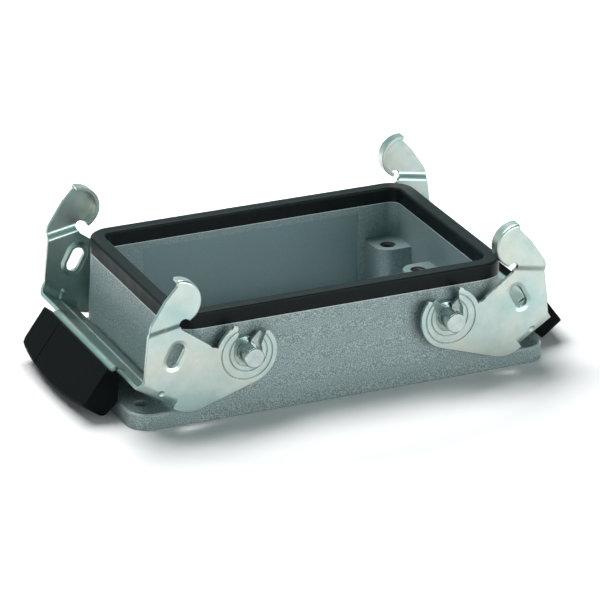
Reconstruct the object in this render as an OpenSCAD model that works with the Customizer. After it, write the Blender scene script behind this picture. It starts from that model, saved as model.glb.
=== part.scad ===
// Bulkhead-mounted housing of a heavy duty rectangular connector, for two
// 24-pole contact inserts side by side, with two locking levers.
// Millimetres, +Z up. The origin is the centre of the opening in the mounting
// plane. Both levers stand in their open position.

/* [Housing] */
// Length of the body at the rim
body_l = 130; // [122:1:150]
// Width of the body at the rim
body_w = 90; // [84:1:110]
// Height of the cast body, without the rim seal
body_h = 35.2; // [32:0.2:45]
// Radius of the body's outer corners at the rim
corner_r = 9.8; // [8:0.1:14]
// Thickness of the wall at the rim
wall = 5.8; // [5:0.1:8]
// Growth of each side from the rim to the mounting plane
draft = 1.5; // [0.5:0.1:2]
// Depth of the relief in the long inner walls
relief_depth = 0.7; // [0.3:0.1:1.2]
// Height of the full wall left above that relief
relief_land = 2.8; // [2:0.1:6]

/* [Flange] */
// Length of the mounting flange
flange_l = 162; // [160:1:184]
// Thickness of the mounting flange
flange_t = 6; // [4:0.1:8]
// Radius of the flange's corners
flange_r = 8; // [5:0.5:12]
// Bevel along the flange's top edge
flange_bevel = 0.7; // [0.3:0.1:1.2]
// Spacing of the fixing holes along the flange
fix_pitch_l = 148; // [146:1:166]
// Spacing of the fixing holes across the flange
fix_pitch_w = 70; // [60:1:76]
// Diameter of the fixing holes
fix_d = 5.5; // [4:0.1:6.5]

/* [Insert bosses] */
// Spacing of the insert screws along the housing
insert_pitch_l = 104; // [98:1:106]
// Spacing of the outer insert screws across the housing
insert_pitch_w = 62; // [58:1:64]
// Spacing of the two middle insert screws across the housing
insert_gap_w = 8; // [7:0.5:12]
// Height of the boss tops above the mounting plane
boss_h = 21.6; // [16:0.2:26]
// Radius of a boss round its screw hole
boss_r = 5.7; // [4.5:0.1:6.5]
// Diameter of the tapped holes in the bosses
tap_d = 4; // [3:0.1:5]
// Depth of the tapped holes
tap_depth = 12; // [8:0.5:15]
// Diameter of the lead-in at the top of each tapped hole
lead_d = 5.7; // [5.2:0.1:6.5]

/* [Seals] */
// Height of the rim seal above the cast body
seal_h = 5.8; // [3:0.1:8]
// Step from the outer wall in to the rim seal
seal_step = 0.2; // [0.1:0.05:0.6]
// Radius of the rim seal's top edges
seal_round = 0.9; // [0.4:0.1:1.4]
// Width of the seal's tongue in the rim groove
tongue_w = 2; // [1.4:0.1:2.6]
// Depth of the seal's tongue in the rim groove
tongue_h = 2; // [1:0.1:3]
// Width of the gasket in the underside
gasket_w = 3; // [2:0.1:4]
// Depth of the gasket in the underside
gasket_h = 1.4; // [1:0.1:2]

/* [Pivot pins] */
// Distance from the body's end to the pivot pins
pivot_inset = 25.9; // [24:0.1:30]
// Height of the pivot pins above the mounting plane
pivot_z = 25.4; // [24.4:0.1:27.4]
// Diameter of a pin
pin_d = 7.4; // [6.4:0.1:7.8]
// Diameter of the collar at the root of a pin
collar_d = 10; // [8.8:0.1:10.4]
// Thickness of that collar
collar_t = 2; // [1.4:0.1:2.4]
// Diameter of the pin's shank in the wall
shank_d = 5; // [4:0.1:5.6]
// Length of the pin's shank in the wall
shank_l = 4; // [3:0.1:4.2]
// How far a pin stands out past the lever
pin_proud = 6; // [3:0.1:8]

/* [Levers] */
// Thickness of the lever sheet
sheet_t = 1.4; // [1:0.1:1.8]
// Gap between the pin's collar and the clip in the lever
side_gap = 0.6; // [0.4:0.05:1]
// Radius of the hook round a pin
hook_r = 11.6; // [11:0.1:13]
// Width of the open slot in the hook
mouth_w = 10.6; // [9.8:0.1:11.4]
// Lean of the mouth's inner edge towards the middle of the housing
mouth_lean = 23; // [10:1:30]
// Outward step of the nose from the arm
joggle = 1.5; // [0.8:0.1:2]
// Radius of the nose that pulls the mating hood down
nose_r = 8.3; // [7:0.1:9]
// Depth of the rim turned inwards round the nose
nose_rim = 4.8; // [3:0.1:5.4]
// Radius of the notch that catches the mating pin
notch_r = 1.9; // [1.5:0.1:2.4]
// Length of the slot in each arm, between its end centres
slot_l = 4.6; // [3:0.1:8]
// Width of the slot in each arm
slot_w = 4.8; // [3:0.1:5.6]
// Depth of the collar drawn inwards round that slot
slot_collar = 0.7; // [0.4:0.1:1.6]
// Outer radius of the bends between web and arms
bend_r = 4; // [3:0.1:5]
// Slope of the web when the lever is open
web_slope = 32.9; // [31:0.1:35]

/* [Clips] */
// Thickness of the clip sheet
clip_t = 1.2; // [0.8:0.1:1.4]
// Outer radius of a clip
clip_r = 8.6; // [7.8:0.1:9.6]
// Radial running clearance between clip and pin
run_gap = 0.05; // [0.02:0.01:0.09]
// Width of the clip's mouth beside the pin
clip_mouth = 3.4; // [3:0.1:5]

/* [Grips] */
// Length of a grip across the housing
grip_l = 63; // [56:1:74]
// Rise of the arched outer edge over its length
grip_arch = 3.2; // [1.5:0.1:5]
// Rounding of the arched edge's corners
grip_corner = 4; // [2:0.1:6]
// Bevel along that arched edge
grip_bevel = 0.9; // [0.4:0.1:1.4]
// Distance from the grip's middle to the groove across it
groove_y = 15.4; // [8:0.1:24]
// Width of that groove
groove_w = 0.5; // [0.3:0.1:0.8]
// Width of the tongue that the grip is moulded on
tab_l = 57; // [48:1:59]

/* [Hidden] */
$fn = 96;
EPS = 0.01;

// Housing outline at the mounting plane, and the opening
base_l = body_l + 2 * draft;
base_w = body_w + 2 * draft;
cavity_l = body_l - 2 * wall;
cavity_w = body_w - 2 * wall;
cavity_r = corner_r - wall;
// Full wall left between a boss and the end of the relief
relief_stop = 3;
// Half extent of the drafted side wall at height z
function side_y(z) = body_w / 2 + draft * (1 - z / body_h);
function end_x(z) = body_l / 2 + draft * (1 - z / body_h);

// Clearance of the pins, seal and gasket in their seats
seat_gap = 0.02;

// Pins: the collar sits in a flat seat that just cuts the drafted wall
pivot_x = body_l / 2 - pivot_inset;
seat_y = side_y(pivot_z) - 0.3;
seat_r = collar_d / 2 + 0.3;
collar_y = seat_y + collar_t;
pin_r = pin_d / 2;
pin_bevel = 0.3;

// Lever planes, measured outwards from the middle of the housing
clip_y = collar_y + side_gap;
arm_in_y = clip_y + clip_t;
arm_out_y = arm_in_y + sheet_t;
pin_end_y = arm_out_y + pin_proud;
nose_out_y = arm_out_y + joggle;

// Lever outline in its own x and z, from the pivot, for the right lever.
// The web clears the drafted end wall by end_gap and the flange by web_lift.
end_gap = 1.2;
web_lift = 4.1;
web_in = [end_x(flange_t + web_lift) - pivot_x + end_gap, flange_t + web_lift - pivot_z];
web_run = (flange_l / 2 - 1 - pivot_x - web_in.x) / cos(web_slope);
web_dir = [cos(web_slope), sin(web_slope)];
web_up = [-sin(web_slope), cos(web_slope)];
web_out = web_in + web_run * web_dir;
bend_in = bend_r - sheet_t;
web_leg = 1;
bend_lap = 0.3;
heel_run = 1.3;
bead_s = 0.45 * web_run;
bead_r = 0.9;
bead_h = 0.55;
bead_turn = bend_in + bead_r - bead_h;
bead_end = 0.7;
bead_end_r = 1.2;
bead_end_h = 1.1;
bead_groove_r = 0.6;
bead_groove_h = 0.5;
dimple_r = 2.2;
dimple_h = 0.45;
dimple_turn = 77;
hook_c = [0.5, -0.5];
heel_c = web_in - heel_run * web_dir + (hook_r - sheet_t) * web_up;
mouth_top = 2 * hook_r;
mouth_lap = 0.1;
neck_z = [3.2, 7];
tip_inner = [-7.6, 6.1];
tip_inner_r = 1.1;
tip_outer = [4.7, 9.7];
tip_outer_r = 1.1;
valley_r = 1.7;
valley = [hook_r + 1, 3.9];
shoulder = [web_in.x - 3, 13];
notch_c = shoulder + [-0.7, 2.5];
nose_c = [web_in.x - 2, 23.6];
nose_bend = 0.9;
rim_from = 86;
rim_to = 244;
crease = [web_in.x + 9.3, 13.1];
finger_back = [[web_in.x + 9.3, 15], [web_in.x + 8.7, 16.8], [web_in.x + 3.3, 25],
               [web_in.x - 1.5, 30.2]];
nose_lap = 0.7;
joggle_at = [web_in.x - 3, 15.2];
joggle_rise = 3.2;
joggle_tilt = 10;
slot_c = [web_in.x - 0.7, 3.3];
slot_angle = -62;
slot_dish = 1.4;
slot_dish_t = 0.5;
slot_lip = 0.9;
slot_foot = 2.4;
slot_root = 0.2;
coin_r = hook_r - 1.8;
coin_inner_r = mouth_w / 2 + 2;
coin_w = 0.35;
coin_depth = 0.2;

// Tongue of the lever sheet inside the grip: a bend over the web's outer edge
// and a straight leaf that follows the grip's face
tab_bend = sheet_t + 0.8;
tab_drop = 54;
tab_len = 11;
tab_notch = 1.2;
tab_notch_l = 3.2;
tab_lap = 0.2;
tab_c = web_out - tab_bend * web_up;
tab_dir = [cos(tab_drop), -sin(tab_drop)];
tab_out = [sin(tab_drop), cos(tab_drop)];

// Grip section in x and z from the web's outer edge
grip_back = [[0.8, -2.4], [1.5, -11.4], [6.5, -17]];
grip_top = [5.1, 1.1];
grip_len = 18.9;
grip_tip_t = 5.5;
grip_drop = 53.6;
grip_dir = [cos(grip_drop), -sin(grip_drop)];
grip_out = [sin(grip_drop), cos(grip_drop)];
groove_depth = 0.4;
tab_gap = 0.05;
arch_r = (grip_l * grip_l / 4 + grip_arch * grip_arch) / (2 * grip_arch);

// Straight neck of a clip's mouth, from the pin's centre to where it flares
clip_neck = 3.9;

module rounded(l, w, r) {
    square([l - 2 * r, w], center = true);
    square([l, w - 2 * r], center = true);
    for (sx = [-1, 1], sy = [-1, 1])
        translate([sx * (l / 2 - r), sy * (w / 2 - r)]) circle(r);
}

// Runs a profile round a rounded rectangle; the profile's x is the distance
// inwards from the outer edge
module run_round(l, w, r) {
    for (side = [0, 1]) {
        span = side == 0 ? l - 2 * r : w - 2 * r;
        reach = side == 0 ? w / 2 : l / 2;
        for (turn = [0, 180])
            rotate([0, 0, turn + 90 * side])
                translate([-span / 2, -reach, 0]) rotate([90, 0, 90])
                    linear_extrude(span) children();
    }
    for (sx = [-1, 1], sy = [-1, 1])
        translate([sx * (l / 2 - r), sy * (w / 2 - r), 0])
            rotate([0, 0, sx > 0 ? (sy > 0 ? 0 : -90) : (sy > 0 ? 90 : 180)])
                rotate_extrude(angle = 90) translate([r, 0]) mirror([1, 0]) children();
}

// One screw hole in a boss: tapped bore with a lead-in
module tapped_hole() {
    translate([0, 0, boss_h - tap_depth]) cylinder(h = tap_depth + 1, d = tap_d);
    translate([0, 0, boss_h - (lead_d - tap_d) / 2])
        cylinder(h = (lead_d - tap_d) / 2 + EPS, d1 = tap_d, d2 = lead_d + 2 * EPS);
}

// Plan of the bosses in the +x +y quarter of the opening
module boss_plan() {
    x0 = insert_pitch_l / 2;
    for (y0 = [insert_gap_w / 2, insert_pitch_w / 2]) {
        translate([x0, y0]) circle(boss_r);
        translate([x0, y0 - boss_r]) square([cavity_l / 2 - x0 + 1, 2 * boss_r]);
    }
    translate([x0 - boss_r, -1]) square([cavity_l / 2 - x0 + boss_r + 1, insert_gap_w / 2 + 1]);
    translate([x0 - boss_r, insert_pitch_w / 2])
        square([cavity_l / 2 - x0 + boss_r + 1, cavity_w / 2 - insert_pitch_w / 2 + 1]);
}

module shell() {
    linear_extrude(body_h, scale = [body_l / base_l, body_w / base_w], slices = 1)
        rounded(base_l, base_w, corner_r + draft, $fn = 64);
}

// The flange is flush with the drafted side walls at its top edge
module flange() {
    w = 2 * side_y(flange_t);
    difference() {
        linear_extrude(flange_t) rounded(flange_l, w, flange_r);
        run_round(flange_l, w, flange_r)
            polygon([[-1, flange_t - flange_bevel - 1], [flange_bevel + 1, flange_t + 1], [-1, flange_t + 1]]);
    }
}

module housing() {
    groove_in = (wall - tongue_w) / 2;
    color("slategray") difference() {
        union() {
            difference() {
                union() {
                    shell();
                    flange();
                }
                translate([0, 0, -1]) linear_extrude(body_h + 2) rounded(cavity_l, cavity_w, cavity_r);
                relief_l = insert_pitch_l - 2 * (boss_r + relief_stop);
                translate([-relief_l / 2, -cavity_w / 2 - relief_depth, -1])
                    cube([relief_l, cavity_w + 2 * relief_depth, body_h - relief_land + 1]);
            }
            intersection() {
                linear_extrude(boss_h)
                    for (mx = [0, 1], my = [0, 1])
                        mirror([mx, 0]) mirror([0, my]) boss_plan();
                linear_extrude(boss_h) rounded(cavity_l + 2, cavity_w + 2, cavity_r + 1);
            }
        }
        for (sx = [-1, 1], y = [insert_gap_w / 2, insert_pitch_w / 2], sy = [-1, 1])
            translate([sx * insert_pitch_l / 2, sy * y, 0]) tapped_hole();
        for (sx = [-1, 1], sy = [-1, 1])
            translate([sx * fix_pitch_l / 2, sy * fix_pitch_w / 2, -1])
                cylinder(h = flange_t + 2, d = fix_d);
        for (sx = [-1, 1], sy = [-1, 1])
            translate([sx * pivot_x, sy * seat_y, pivot_z]) rotate([-90 * sy, 0, 0]) {
                cylinder(h = draft + 1, r = seat_r);
                translate([0, 0, -shank_l]) cylinder(h = shank_l + 1, d = shank_d + 2 * seat_gap);
            }
        translate([0, 0, body_h - tongue_h])
            run_round(body_l, body_w, corner_r)
                translate([groove_in - seat_gap, -seat_gap])
                    square([tongue_w + 2 * seat_gap, tongue_h + 1]);
        run_round(base_l, base_w, corner_r + draft)
            translate([gasket_in() - seat_gap, -1])
                square([gasket_w + 2 * seat_gap, gasket_h + 1]);
    }
}

// Distance from the base outline in to the gasket
function gasket_in() = (wall + draft - relief_depth - gasket_w) / 2;

module rim_seal() {
    w = wall - seal_step;
    color("black") translate([0, 0, body_h])
        run_round(body_l - 2 * seal_step, body_w - 2 * seal_step, corner_r - seal_step) {
            square([w, seal_h - seal_round]);
            translate([seal_round, 0]) square([w - 2 * seal_round, seal_h]);
            for (x = [seal_round, w - seal_round])
                translate([x, seal_h - seal_round]) circle(seal_round);
            translate([(wall - tongue_w) / 2 - seal_step, -tongue_h]) square([tongue_w, tongue_h + EPS]);
        }
}

module base_gasket() {
    color("black")
        run_round(base_l, base_w, corner_r + draft)
            translate([gasket_in(), 0]) square([gasket_w, gasket_h]);
}

// Headed pin along +z from the seat in the wall
module pin() {
    l = pin_end_y - seat_y;
    color("gainsboro") rotate_extrude()
        polygon([[0, -shank_l], [shank_d / 2, -shank_l], [shank_d / 2, 0], [collar_d / 2, 0],
                 [collar_d / 2, collar_t - pin_bevel], [collar_d / 2 - pin_bevel, collar_t],
                 [pin_r, collar_t], [pin_r, l - pin_bevel], [pin_r - pin_bevel, l], [0, l]]);
}

module pin_at(sx, sy) {
    translate([sx * pivot_x, sy * seat_y, pivot_z]) rotate([-90 * sy, 0, 0]) pin();
}

// Outline of one arm in the lever's x and z, without the bend and the nose rim
module arm_outline() {
    heel = (heel_c - hook_c) / norm(heel_c - hook_c) * hook_r;
    down = [heel.y, -heel.x];
    mouth_half = mouth_w / 2 - mouth_lap;
    mouth_side = mouth_half * [-cos(mouth_lean), sin(mouth_lean)];
    neck_x = tip_outer.x - tip_outer_r;
    difference() {
        union() {
            translate(hook_c) circle(hook_r);
            translate(heel_c) circle(hook_r);
            polygon(concat([hook_c, hook_c + down, heel_c + down, heel_c,
                            web_in + bend_in * web_up, web_out + bend_in * web_up, crease],
                           finger_back, [nose_c, shoulder, valley]));
            translate(nose_c) intersection() {
                circle(nose_r - nose_bend);
                translate([-nose_r, -nose_r]) square([nose_r + nose_lap, 2 * nose_r]);
            }
        }
        circle(d = mouth_w);
        polygon([[0, 0], [mouth_half, 0], [mouth_half, neck_z[0]], [neck_x, neck_z[1]],
                 [neck_x, mouth_top], mouth_side + mouth_top * [-tan(mouth_lean), 1], mouth_side]);
        translate([-mouth_top, tip_inner.y]) square([mouth_top, mouth_top]);
        translate([0, tip_outer.y]) square([tip_outer.x + 2 * tip_outer_r, mouth_top]);
        translate(valley + [0, valley_r]) circle(valley_r);
        translate(notch_c) circle(notch_r);
        translate(notch_c) rotate(215) translate([0, -notch_r]) square([4 * notch_r, 2 * notch_r]);
        translate(web_in + (bend_in + web_leg / 2) * web_up) rotate(web_slope)
            translate([0, -2 * hook_r]) square([web_run + 4 * hook_r, 2 * hook_r]);
        translate(slot_c) slot_plan(slot_w);
    }
    translate(tip_inner) circle(tip_inner_r);
    translate(tip_outer) circle(tip_outer_r);
}

module slot_plan(w) {
    rotate(slot_angle) {
        square([slot_l, w], center = true);
        for (s = [-1, 1]) translate([s * slot_l / 2, 0]) circle(d = w);
    }
}

// Stands a plan in the lever's x and z up between two distances from the middle
module upright(from_y, to_y) {
    translate([0, to_y, 0]) rotate([90, 0, 0]) linear_extrude(to_y - from_y) children();
}

// Section of the sheet through arm and nose, with a soft outward step between
// them
module joggled_sheet() {
    low = -4 * hook_r;
    high = 4 * hook_r;
    step = [for (t = [0:1 / 8:1]) [joggle * (1 - cos(180 * t)) / 2, joggle_rise * (t - 1 / 2)]];
    back = [for (i = [len(step) - 1:-1:0]) step[i]];
    translate([joggle_at.x, 0, joggle_at.y]) rotate([0, joggle_tilt, 0]) rotate([90, 0, 90])
        translate([0, 0, low]) linear_extrude(high - low)
            polygon(concat([[arm_in_y, low], [arm_out_y, low]], [for (p = step) p + [arm_out_y, 0]],
                           [[arm_out_y + joggle, high], [arm_in_y + joggle, high]],
                           [for (p = back) p + [arm_in_y, 0]]));
}

// Section of the nose rim: x is the distance from the nose's centre
module rim_section() {
    face = nose_r - nose_bend - 1;
    edge = nose_out_y - nose_rim;
    difference() {
        union() {
            translate([face, edge]) square([nose_bend + 1, nose_rim - nose_bend]);
            translate([face, edge]) square([1, nose_rim]);
            translate([nose_r - nose_bend, nose_out_y - nose_bend]) circle(nose_bend);
        }
        translate([face - 1, edge - 1])
            square([nose_r - sheet_t - face + 1, nose_rim - sheet_t + 1]);
    }
}

// Rim turned inwards round the nose
module nose_rim_turn() {
    translate([nose_c.x, 0, nose_c.y]) rotate([-90, 0, 0]) rotate([0, 0, -rim_to])
        rotate_extrude(angle = rim_to - rim_from) rim_section();
}

// Solid in the slot's shape whose edge moves out from from_r to to_r over its
// height
module slot_taper(from_r, to_r, h) {
    for (s = [-1, 1])
        translate([s * slot_l / 2, 0, 0]) cylinder(h = h, r1 = from_r, r2 = to_r);
    translate([-slot_l / 2, 0, 0]) rotate([90, 0, 90]) linear_extrude(slot_l)
        polygon([[-from_r, 0], [from_r, 0], [to_r, h], [-to_r, h]]);
}

// Arm on the +y side
module arm() {
    difference() {
        union() {
            intersection() {
                upright(arm_in_y - 1, nose_out_y + 1) arm_outline();
                joggled_sheet();
            }
            // Collar drawn inwards round the slot
            difference() {
                translate([slot_c.x, arm_in_y + slot_root, slot_c.y])
                    rotate([90, 0, 0]) rotate([0, 0, slot_angle])
                        slot_taper(slot_w / 2 + slot_foot, slot_w / 2 + slot_lip, slot_collar + slot_root);
                upright(arm_in_y - slot_collar - 1, arm_out_y) translate(slot_c) slot_plan(slot_w);
            }
        }
        // Dished edge of the slot in the arm's outer face
        translate([slot_c.x, arm_out_y - slot_dish_t, slot_c.y])
            rotate([-90, 0, 0]) rotate([0, 0, -slot_angle])
                slot_taper(slot_w / 2, slot_w / 2 + 2 * slot_dish, 2 * slot_dish_t);
        // Two coined rings round the hook
        for (ring = [[hook_c, coin_r], [[0, 0], coin_inner_r]])
            upright(arm_out_y - coin_depth, arm_out_y + 1) translate(ring[0]) difference() {
                circle(ring[1]);
                circle(ring[1] - coin_w);
            }
    }
    nose_rim_turn();
}

// Trough with rounded lower corners, open at the top
module trough(half_w, r, bottom, top) {
    intersection() {
        translate([-half_w, bottom]) square([2 * half_w, top - bottom]);
        union() {
            translate([-half_w + r, bottom]) square([2 * (half_w - r), top - bottom]);
            translate([-half_w - 1, bottom + r]) square([2 * half_w + 2, top - bottom - r]);
            for (side = [-1, 1]) translate([side * (half_w - r), bottom + r]) circle(r);
        }
    }
}

// Section of the web with the bends up to both arms
module channel_section() {
    top = bend_in + web_leg;
    difference() {
        trough(arm_out_y, bend_r, -sheet_t, top);
        trough(arm_in_y, bend_in, 0, top + 1);
    }
}

module on_web() {
    translate([web_in.x, 0, web_in.y]) rotate([0, -web_slope, 0]) children();
}

// Section under one face of the tongue: over the bend at its origin, along the
// web for web_len and down the leaf for leaf_len, from the depth given
module tongue_side(r, web_len, leaf_len, depth) {
    circle(r);
    rotate(web_slope) translate([-web_len, -depth]) square([web_len, r + depth]);
    rotate(-tab_drop) translate([0, -depth]) square([leaf_len, r + depth]);
}

// Tongue of sheet that the grip is moulded on, grown by a gap all round
module tab(gap) {
    deep = 2 * tab_len;
    upright(-tab_l / 2 - gap, tab_l / 2 + gap) translate(tab_c) difference() {
        tongue_side(tab_bend + gap, web_leg, tab_len + gap, 0);
        tongue_side(tab_bend - sheet_t - gap, deep, deep, deep);
    }
}

// Web and bends, with a relief notch beside each end of the tongue
module web() {
    difference() {
        translate([-bend_lap, 0, 0]) rotate([90, 0, 90])
            linear_extrude(web_run + bend_lap) channel_section();
        for (side = [-1, 1])
            translate([web_run, side * (tab_l + tab_notch) / 2 - side * tab_lap, 0])
                cube([2 * tab_notch_l, tab_notch, 4 * sheet_t], center = true);
    }
    bead();
}

// Bead pressed up across the web, round both bends and a little way up the arms
module bead() {
    half_l = arm_out_y - bend_r;
    translate([bead_s, 0, bead_h - bead_r]) rotate([90, 0, 0])
        cylinder(h = 2 * half_l, r = bead_r, center = true);
    for (turn = [0, 180])
        translate([bead_s, 0, 0]) rotate([0, 0, turn]) translate([0, half_l, bend_in]) {
            rotate([0, 90, 0]) rotate_extrude(angle = 90) translate([bead_turn, 0]) circle(bead_r);
            translate([0, bead_turn, 0]) cylinder(h = bead_end, r = bead_r);
            translate([0, bend_in - bead_end_h + bead_end_r, bead_end]) sphere(bead_end_r, $fn = 48);
        }
}

module lever() {
    color("gainsboro") difference() {
        union() {
            arm();
            mirror([0, 1, 0]) arm();
            on_web() web();
            tab(0);
        }
        // Groove under the bead, and a dimple in the corner of each bend
        on_web() translate([bead_s, 0, bead_groove_h - bead_groove_r - sheet_t]) rotate([90, 0, 0])
            cylinder(h = 2 * (arm_out_y - bend_r), r = bead_groove_r, center = true);
        for (side = [-1, 1])
            on_web() translate([bead_s, side * (arm_out_y - bend_r), bend_in]) rotate([side * dimple_turn, 0, 0])
                translate([0, 0, dimple_h - dimple_r - bend_r]) sphere(dimple_r, $fn = 48);
    }
}

// C-shaped clip on the inner face of the +y arm, round the pin
module clip() {
    mouth = clip_mouth / 2;
    color("silver") upright(clip_y, arm_in_y) difference() {
        circle(clip_r);
        circle(pin_r + run_gap);
        polygon([[-mouth, 0], [mouth, 0], [mouth, clip_neck], [mouth + clip_r, clip_neck + clip_r],
                 [-mouth - clip_r, clip_neck + clip_r], [-mouth, clip_neck]]);
    }
}

// Plan of a grip on its face: x down the face, y along the grip
module grip_plan() {
    offset(r = grip_corner, $fn = 40) offset(delta = -grip_corner) intersection() {
        translate([grip_len - arch_r, 0]) circle(arch_r, $fn = 240);
        translate([-grip_len, -grip_l / 2]) square([2 * grip_len, grip_l]);
    }
}

module on_face() {
    translate([web_out.x + grip_top.x, 0, web_out.y + grip_top.y]) rotate([0, grip_drop, 0]) children();
}

module grip() {
    tip = grip_top + grip_len * grip_dir;
    color("dimgray") difference() {
        intersection() {
            upright(-grip_l / 2, grip_l / 2) translate(web_out)
                polygon(concat(grip_back, [tip - grip_tip_t * grip_out, tip, grip_top]));
            on_face() linear_extrude(2 * grip_len, center = true) grip_plan();
        }
        // Bevel along the arched edge
        on_face() translate([grip_len - arch_r, 0, 0]) rotate_extrude($fn = 240)
            polygon([[arch_r - grip_bevel - 1, 1], [arch_r + 1, -grip_bevel - 1], [arch_r + 1, 1]]);
        on_face() translate([grip_len / 2, -groove_y, 0])
            cube([2 * grip_len, groove_w, 2 * groove_depth], center = true);
        tab(tab_gap);
    }
}

// Places a lever piece: side is -1 for the left lever, which is the right one
// turned half round, and 1 for the right one
module on_pivot(side) {
    rotate([0, 0, side < 0 ? 180 : 0]) translate([pivot_x, 0, pivot_z]) children();
}

housing();
rim_seal();
base_gasket();
pin_at(-1, -1);  // pin_front_left
pin_at(1, -1);  // pin_front_right
pin_at(-1, 1);  // pin_rear_left
pin_at(1, 1);  // pin_rear_right
on_pivot(-1) lever();  // lever_left
on_pivot(1) lever();  // lever_right
on_pivot(-1) grip();  // grip_left
on_pivot(1) grip();  // grip_right
on_pivot(-1) clip();  // clip_front_left
on_pivot(1) mirror([0, 1, 0]) clip();  // clip_front_right
on_pivot(-1) mirror([0, 1, 0]) clip();  // clip_rear_left
on_pivot(1) clip();  // clip_rear_right
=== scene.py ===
import math

import bpy
from mathutils import Matrix, Vector

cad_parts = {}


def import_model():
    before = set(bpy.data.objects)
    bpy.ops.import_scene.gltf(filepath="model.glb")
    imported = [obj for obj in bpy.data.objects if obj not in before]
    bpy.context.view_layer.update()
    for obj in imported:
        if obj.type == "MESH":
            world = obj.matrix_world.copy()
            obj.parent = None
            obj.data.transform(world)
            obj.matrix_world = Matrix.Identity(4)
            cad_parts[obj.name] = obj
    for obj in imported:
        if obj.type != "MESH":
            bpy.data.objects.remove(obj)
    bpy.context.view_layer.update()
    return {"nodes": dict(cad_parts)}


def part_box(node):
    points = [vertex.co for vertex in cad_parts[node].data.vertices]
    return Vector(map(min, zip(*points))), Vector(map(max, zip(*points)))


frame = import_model()
MM = 0.001

# Where the housing's surface changes, in millimetres out from its middle and up from the panel
OPENING = (59.7, 40.2, 35.2)
RELIEF = (43.4, 40.7, 32.4)
# Heights of the band that is painted with a highlight under the seal
HIGHLIGHT_BAND = (34.95, 36)
FLANGE_BEVEL = (5.25, 5.97)
BEVEL_FROM_X = 66.5
BORE_X = 52
BORE_ROWS = (4, 31)
BORE_R = 2.95
THREAD_PITCH = 0.7

LATHE_PITCH = 0.22       # of the rings on the pins, in millimetres
WAVE_PERIOD = 0.314      # of a wave texture at scale 1, in metres
FLAT = (0.5, 0.5, 0.5)   # a height that raises nothing

# The floor's glow runs between two levels, at these distances from the middle in metres
GLOW_REACH = (0.1, 0.17)
GLOW_LEVEL = (0.015, 0.6)

# The sky's colour at two heights, and its level as a lamp, where 1 is what the camera and mirrors see
SKY = ((0.05, (0.80, 1.0, 1.0)), (0.6, (0.12, 0.28, 0.29)))
SKY_LIGHT = 0.16


# ---------------------------------------------------------------- materials

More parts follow.
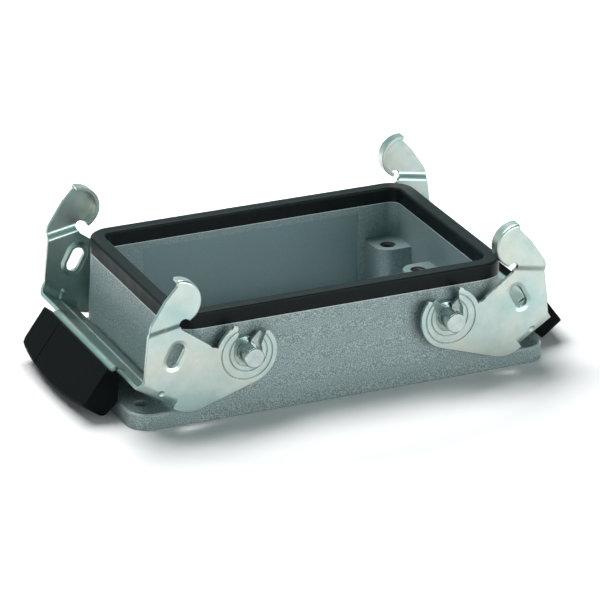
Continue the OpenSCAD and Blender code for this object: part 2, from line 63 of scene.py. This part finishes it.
class Surface:
    """A node material, with short calls for the nodes that every finish needs."""

    def __init__(self, name, edge, **shader):
        """Sharp edges are shaded as if they were rounded by edge, in metres."""
        self.mat = bpy.data.materials.new(name)
        self.mat.use_nodes = True
        self.tree = self.mat.node_tree
        self.bsdf = self.tree.nodes["Principled BSDF"]
        self.place = self.tree.nodes.new("ShaderNodeTexCoord").outputs["Object"]
        bevel = self.tree.nodes.new("ShaderNodeBevel")
        bevel.samples = 6
        bevel.inputs["Radius"].default_value = edge
        self.soft_normal = bevel.outputs["Normal"]
        for socket, value in shader.items():
            self.bsdf.inputs[socket.replace("_", " ")].default_value = value

    def link(self, out, node, socket):
        self.tree.links.new(out, node.inputs[socket])

    def feed(self, node, socket, value):
        """Link a socket's output, or set a number or a colour."""
        if isinstance(value, bpy.types.NodeSocket):
            self.link(value, node, socket)
        elif isinstance(value, tuple):
            node.inputs[socket].default_value = (*value, 1)
        else:
            node.inputs[socket].default_value = value

    def stretched(self, scale):
        node = self.tree.nodes.new("ShaderNodeMapping")
        node.inputs["Scale"].default_value = scale
        self.link(self.place, node, "Vector")
        return node.outputs["Vector"]

    def noise(self, size, detail=2.0, rough=0.5, place=None):
        node = self.tree.nodes.new("ShaderNodeTexNoise")
        node.inputs["Scale"].default_value = 1 / size
        node.inputs["Detail"].default_value = detail
        node.inputs["Roughness"].default_value = rough
        self.link(place or self.place, node, "Vector")
        return node.outputs["Fac"]

    def cells(self, size):
        node = self.tree.nodes.new("ShaderNodeTexVoronoi")
        node.feature = "SMOOTH_F1"
        node.inputs["Scale"].default_value = 1 / size
        self.link(self.place, node, "Vector")
        return node.outputs["Distance"]

    def edges(self):
        """Near 1 along the piece's sharp edges, and 0 elsewhere."""
        turned_far = 0.88
        turned_little = 0.98
        true = self.tree.nodes.new("ShaderNodeNewGeometry")
        match = self.tree.nodes.new("ShaderNodeVectorMath")
        match.operation = "DOT_PRODUCT"
        self.link(self.soft_normal, match, 0)
        self.link(true.outputs["Normal"], match, 1)
        return self.ramp(match.outputs["Value"], (turned_far, 1.0), (turned_little, 0.0))

    def axes(self):
        """How far the point is from the middle along each axis, in metres."""
        split = self.tree.nodes.new("ShaderNodeSeparateXYZ")
        self.link(self.place, split, "Vector")
        return [self.maths("ABSOLUTE", split.outputs[axis]) for axis in "XYZ"]

    def between(self, low, high):
        """1 where the point's height lies between these millimetres, or 0."""
        height = self.axes()[2]
        above = self.maths("GREATER_THAN", height, low * MM)
        below = self.maths("LESS_THAN", height, high * MM)
        return self.maths("MULTIPLY", above, below)

    def in_bores(self, x, rows, radius):
        """1 inside the upright bores at this x in the given rows, in millimetres, or 0."""
        from_x, from_y = self.axes()[:2]
        found = 0.0
        for y in rows:
            off_x = self.maths("POWER", self.maths("SUBTRACT", from_x, x * MM), 2.0)
            off_y = self.maths("POWER", self.maths("SUBTRACT", from_y, y * MM), 2.0)
            inside = self.maths("LESS_THAN", self.maths("ADD", off_x, off_y), (radius * MM) ** 2)
            found = self.maths("ADD", inside, found)
        return found

    def inside_box(self, half):
        """1 in the box of this half size about the middle, in millimetres, or 0."""
        found = 1.0
        for size, limit in zip(self.axes(), half):
            found = self.maths("MULTIPLY", self.maths("LESS_THAN", size, limit * MM), found)
        return found

    def maths(self, kind, a, b=0.0):
        node = self.tree.nodes.new("ShaderNodeMath")
        node.operation = kind
        self.feed(node, 0, a)
        self.feed(node, 1, b)
        return node.outputs[0]

    def rings(self, centre, pitch):
        """Rings round an axis along y."""
        shift = self.tree.nodes.new("ShaderNodeVectorMath")
        shift.operation = "SUBTRACT"
        shift.inputs[1].default_value = centre
        self.link(self.place, shift, 0)
        wave = self.tree.nodes.new("ShaderNodeTexWave")
        wave.wave_type = "RINGS"
        wave.rings_direction = "Y"
        wave.inputs["Scale"].default_value = WAVE_PERIOD / pitch
        wave.inputs["Distortion"].default_value = 1.5
        self.link(shift.outputs[0], wave, "Vector")
        return wave.outputs["Fac"]

    def bands(self, pitch):
        """Threads: level bands up the z axis."""
        wave = self.tree.nodes.new("ShaderNodeTexWave")
        wave.bands_direction = "Z"
        wave.inputs["Scale"].default_value = WAVE_PERIOD / pitch
        self.link(self.place, wave, "Vector")
        return wave.outputs["Fac"]

    def ramp(self, fac, *stops):
        """Each stop is (place from 0 to 1, grey level or colour)."""
        node = self.tree.nodes.new("ShaderNodeValToRGB")
        ends = node.color_ramp.elements
        while len(ends) < len(stops):
            ends.new(0.5)
        for end, (at, value) in zip(ends, stops):
            end.position = at
            end.color = (*value, 1) if isinstance(value, tuple) else (value, value, value, 1)
        self.link(fac, node, "Fac")
        return node.outputs["Color"]

    def mix(self, fac, a, b, kind="MIX"):
        """Colour a where fac is 0, and b where it is 1."""
        node = self.tree.nodes.new("ShaderNodeMix")
        node.data_type = "RGBA"
        node.blend_type = kind
        for socket, value in ((0, fac), (6, a), (7, b)):
            self.feed(node, socket, value)
        return node.outputs[2]

    def colour(self, out):
        self.link(out, self.bsdf, "Base Color")

    def roughness(self, out):
        self.link(out, self.bsdf, "Roughness")

    def bump(self, *layers):
        """Each layer is (height, strength, depth in metres), on top of softened edges."""
        last = self.soft_normal
        for height, strength, depth in layers:
            node = self.tree.nodes.new("ShaderNodeBump")
            node.inputs["Strength"].default_value = strength
            node.inputs["Distance"].default_value = depth
            self.link(height, node, "Height")
            self.link(last, node, "Normal")
            last = node.outputs["Normal"]
        self.link(last, self.bsdf, "Normal")

    def shade_edges(self, tone, amount, dark):
        """The tone, darker by this amount along sharp edges: painted shade that outlines them."""
        return self.mix(self.maths("MULTIPLY", self.edges(), amount), tone, dark)


def hammered_paint():
    s = Surface("hammered_paint", 0.35 * MM, Metallic=0.25)
    fleck = s.noise(0.34 * MM, 2, 0.65)
    hollow, level, crest = (0.12, 0.18, 0.185), (0.245, 0.32, 0.325), (0.44, 0.52, 0.515)
    tone = s.ramp(fleck, (0.38, hollow), (0.5, level), (0.62, crest))
    # The paint lies smoother inside the opening, and flat in the relief of its long walls; there it is
    # also darker and tealer, painted shade of the recess
    relief = s.inside_box(RELIEF)
    in_opening = s.maths("MULTIPLY", s.inside_box(OPENING), 0.6)
    smooth_and_shaded = s.maths("MAXIMUM", in_opening, s.maths("MULTIPLY", relief, 0.93))
    tone = s.mix(smooth_and_shaded, tone, s.mix(relief, (0.18, 0.265, 0.275), (0.165, 0.255, 0.27)))
    cloud = s.ramp(s.noise(14 * MM, 3), (0.35, 0.0), (0.7, 0.12))
    tone = s.mix(cloud, tone, (0.17, 0.22, 0.225))
    # A bright band along the top of the walls under the seal is a painted highlight.
    tone = s.mix(s.between(*HIGHLIGHT_BAND), tone, (0.62, 0.66, 0.65))
    # A pale line on the flange's bevel, at its ends, is a painted highlight.
    flange_end = s.maths("GREATER_THAN", s.axes()[0], BEVEL_FROM_X * MM)
    bevel = s.maths("MULTIPLY", s.between(*FLANGE_BEVEL), flange_end)
    tone = s.mix(s.maths("MULTIPLY", bevel, 0.4), tone, (0.58, 0.64, 0.64))
    # The threaded bores are near black: painted shade down the holes, with the threads as bumps.
    shaded_bore = s.in_bores(BORE_X, BORE_ROWS, BORE_R)
    s.colour(s.mix(shaded_bore, tone, (0.03, 0.035, 0.035)))
    s.roughness(s.ramp(fleck, (0.3, 0.55), (0.7, 0.4)))
    hammer = s.mix(smooth_and_shaded, fleck, FLAT)
    swell = s.noise(2.2 * MM, 2)
    thread = s.mix(shaded_bore, FLAT, s.bands(THREAD_PITCH * MM))
    s.bump((hammer, 0.5, 0.12 * MM), (swell, 0.04, 0.15 * MM), (thread, 1.0, 0.3 * MM))
    return s.mat


def seal_rubber():
    s = Surface("seal_rubber", 0.2 * MM, Specular_IOR_Level=0.12)
    dust = s.noise(0.5 * MM, 4, 0.7)
    s.colour(s.ramp(dust, (0.3, (0.003, 0.005, 0.006)), (0.8, (0.008, 0.012, 0.013))))
    s.roughness(s.ramp(s.noise(6 * MM, 3), (0.3, 0.3), (0.7, 0.42)))
    s.bump((dust, 0.1, 0.06 * MM))
    return s.mat


def zinc_plate():
    """Stained plating with a faint film that runs from teal to straw yellow."""
    s = Surface("zinc_plate", 0.4 * MM, Metallic=1.0)
    stain = s.noise(8 * MM, 4, 0.55)
    dull, plain, bright = (0.33, 0.42, 0.40), (0.43, 0.52, 0.49), (0.53, 0.60, 0.57)
    tone = s.ramp(stain, (0.3, dull), (0.5, plain), (0.72, bright))
    teal, grey, straw = (0.31, 0.48, 0.48), (0.49, 0.56, 0.53), (0.56, 0.55, 0.46)
    film = s.ramp(s.noise(17 * MM, 3, 0.5), (0.35, teal), (0.5, grey), (0.66, straw))
    tone = s.mix(0.45, tone, film)
    grain = s.noise(0.35 * MM, 3, 0.6, s.stretched((1, 1, 0.2)))
    tone = s.mix(0.1, tone, s.ramp(grain, (0.3, 0.5), (0.7, 1.0)), "MULTIPLY")
    # Painted shade outlines the sharp edges.
    s.colour(s.shade_edges(tone, 0.85, (0.07, 0.10, 0.095)))
    s.roughness(s.ramp(stain, (0.3, 0.4), (0.7, 0.27)))
    s.bump((grain, 0.06, 0.06 * MM), (s.noise(6 * MM, 2), 0.16, 0.3 * MM))
    return s.mat


def clip_steel():
    s = Surface("clip_steel", 0.15 * MM, Metallic=1.0)
    stain = s.noise(3 * MM, 4, 0.6)
    # The clip's tone is kept low: painted shade where it sits behind the hook and round the pin,
    # varied by the stain noise.
    tone = s.ramp(stain, (0.3, (0.26, 0.31, 0.30)), (0.7, (0.42, 0.47, 0.45)))
    # Painted shade outlines the sharp edges.
    s.colour(s.shade_edges(tone, 0.6, (0.06, 0.08, 0.08)))
    s.roughness(s.ramp(stain, (0.3, 0.36), (0.7, 0.24)))
    s.bump((s.noise(0.4 * MM, 3), 0.06, 0.08 * MM))
    return s.mat


def turned_steel(name, axis_x, axis_z):
    """Lathe rings run round the pin's own axis, which lies along y."""
    s = Surface(name, 0.15 * MM, Metallic=1.0)
    stain = s.noise(3 * MM, 4)
    tone = s.ramp(stain, (0.3, (0.39, 0.46, 0.45)), (0.7, (0.51, 0.57, 0.56)))
    # Painted shade outlines the sharp edges.
    s.colour(s.shade_edges(tone, 0.5, (0.12, 0.15, 0.15)))
    s.roughness(s.ramp(stain, (0.3, 0.26), (0.7, 0.2)))
    s.bump((s.rings((axis_x, 0, axis_z), LATHE_PITCH * MM), 0.02, 0.02 * MM))
    return s.mat


def grip_plastic():
    s = Surface("grip_plastic", 0.4 * MM, Specular_IOR_Level=0.02)
    fine = s.noise(0.3 * MM, 3)
    s.colour(s.ramp(fine, (0.3, (0.003, 0.004, 0.005)), (0.8, (0.008, 0.011, 0.012))))
    s.roughness(s.ramp(fine, (0.3, 0.42), (0.7, 0.54)))
    s.bump((s.cells(0.7 * MM), 0.3, 0.08 * MM), (fine, 0.1, 0.04 * MM))
    return s.mat


def dress(names, material):
    for name in names:
        for slot in frame["nodes"][name].material_slots:
            slot.material = material


# ---------------------------------------------------------------- stage

def toward(azimuth, elevation):
    """Unit vector to a point of the sky, in degrees round from the front and up."""
    a, e = math.radians(azimuth), math.radians(elevation)
    return Vector((math.sin(a) * math.cos(e), -math.cos(a) * math.cos(e), math.sin(e)))


def camera():
    """A long lens, fitted to the photo's view."""
    azimuth = -23.50
    elevation = 22.61
    roll = math.radians(-0.17)
    distance = 1.59763
    aim = Vector((2.583, 0, 19.162)) * MM
    back = toward(azimuth, elevation)
    right = Vector((math.cos(math.radians(azimuth)), math.sin(math.radians(azimuth)), 0))
    up = back.cross(right)
    turn = Matrix((right, up, back)).transposed() @ Matrix.Rotation(roll, 3, "Z")
    data = bpy.data.cameras.new("camera")
    data.lens = 262.494
    data.sensor_width = 36
    data.clip_start = 0.05
    data.clip_end = 20
    cam = bpy.data.objects.new("camera", data)
    cam.matrix_world = Matrix.Translation(aim + distance * back) @ turn.to_4x4()
    bpy.context.collection.objects.link(cam)
    bpy.context.scene.camera = cam


def softbox(name, azimuth, elevation, distance, size, power):
    """A rectangular lamp that faces the part. Lengths are in metres."""
    aim = Vector((0, 0, 0.02))
    data = bpy.data.lights.new(name, "AREA")
    data.shape = "RECTANGLE"
    data.size, data.size_y = size
    data.energy = power
    lamp = bpy.data.objects.new(name, data)
    lamp.location = aim + distance * toward(azimuth, elevation)
    lamp.rotation_euler = (lamp.location - aim).to_track_quat("Z", "Y").to_euler()
    bpy.context.collection.objects.link(lamp)


def floor():
    """White floor that keeps the shadow. Away from the object it glows for the camera and mirrors."""
    half = 6.0
    drop = 0.05 * MM
    mesh = bpy.data.meshes.new("floor")
    sheet = [(-half, -half, -drop), (half, -half, -drop), (half, half, -drop), (-half, half, -drop)]
    mesh.from_pydata(sheet, [], [(0, 1, 2, 3)])
    obj = bpy.data.objects.new("floor", mesh)
    bpy.context.collection.objects.link(obj)
    mat = bpy.data.materials.new("floor")
    mat.use_nodes = True
    tree = mat.node_tree
    shader = tree.nodes["Principled BSDF"]
    shader.inputs["Base Color"].default_value = (0.96, 0.96, 0.96, 1)
    shader.inputs["Roughness"].default_value = 1.0
    shader.inputs["Specular IOR Level"].default_value = 0.0
    shader.inputs["Emission Color"].default_value = (1, 1, 1, 1)
    place = tree.nodes.new("ShaderNodeTexCoord")
    away = tree.nodes.new("ShaderNodeVectorMath")
    away.operation = "LENGTH"
    tree.links.new(place.outputs["Object"], away.inputs[0])
    glow = tree.nodes.new("ShaderNodeMapRange")
    for socket, value in zip(("From Min", "From Max", "To Min", "To Max"), GLOW_REACH + GLOW_LEVEL):
        glow.inputs[socket].default_value = value
    tree.links.new(away.outputs["Value"], glow.inputs["Value"])
    seen = tree.nodes.new("ShaderNodeMath")
    seen.operation = "MULTIPLY"
    tree.links.new(glow.outputs["Result"], seen.inputs[0])
    tree.links.new(seen_directly(tree, 0.0, 1.0), seen.inputs[1])
    tree.links.new(seen.outputs[0], shader.inputs["Emission Strength"])
    mesh.materials.append(mat)


def seen_directly(tree, otherwise, seen):
    """One level for the camera, mirrors and glass, and another for all other light."""
    path = tree.nodes.new("ShaderNodeLightPath")
    last = path.outputs["Is Camera Ray"]
    for kind in ("Is Glossy Ray", "Is Transmission Ray"):
        either = tree.nodes.new("ShaderNodeMath")
        either.operation = "MAXIMUM"
        tree.links.new(last, either.inputs[0])
        tree.links.new(path.outputs[kind], either.inputs[1])
        last = either.outputs[0]
    level = tree.nodes.new("ShaderNodeMapRange")
    level.inputs["To Min"].default_value = otherwise
    level.inputs["To Max"].default_value = seen
    tree.links.new(last, level.inputs["Value"])
    return level.outputs["Result"]


def world():
    """A studio that is pale round the horizon and dark teal overhead."""
    sky = bpy.data.worlds.new("studio")
    sky.use_nodes = True
    tree = sky.node_tree
    air = tree.nodes["Background"]
    place = tree.nodes.new("ShaderNodeTexCoord")
    split = tree.nodes.new("ShaderNodeSeparateXYZ")
    tree.links.new(place.outputs["Generated"], split.inputs["Vector"])
    height = tree.nodes.new("ShaderNodeValToRGB")
    for end, (at, colour) in zip(height.color_ramp.elements, SKY):
        end.position = at
        end.color = (*colour, 1)
    tree.links.new(split.outputs["Z"], height.inputs["Fac"])
    tree.links.new(height.outputs["Color"], air.inputs["Color"])
    tree.links.new(seen_directly(tree, SKY_LIGHT, 1.0), air.inputs["Strength"])
    bpy.context.scene.world = sky


bpy.context.scene.view_settings.view_transform = "Standard"
corners = [f"{face}_{side}" for face in ("front", "rear") for side in ("left", "right")]
dress(["housing"], hammered_paint())
dress(["rim_seal", "base_gasket"], seal_rubber())
dress(["lever_left", "lever_right"], zinc_plate())
dress([f"clip_{corner}" for corner in corners], clip_steel())
dress(["grip_left", "grip_right"], grip_plastic())
for corner in corners:
    low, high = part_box(f"pin_{corner}")
    middle_x, middle_z = (low[0] + high[0]) / 2, (low[2] + high[2]) / 2
    dress([f"pin_{corner}"], turned_steel(f"turned_steel_{corner}", middle_x, middle_z))

camera()
floor()
world()
softbox("top", azimuth=194, elevation=68, distance=0.6, size=(0.7, 0.3), power=5.1)
softbox("key", azimuth=20, elevation=12, distance=2.0, size=(1.6, 0.8), power=16)
softbox("fill", azimuth=-80, elevation=15, distance=2.0, size=(1.0, 1.0), power=2.6)
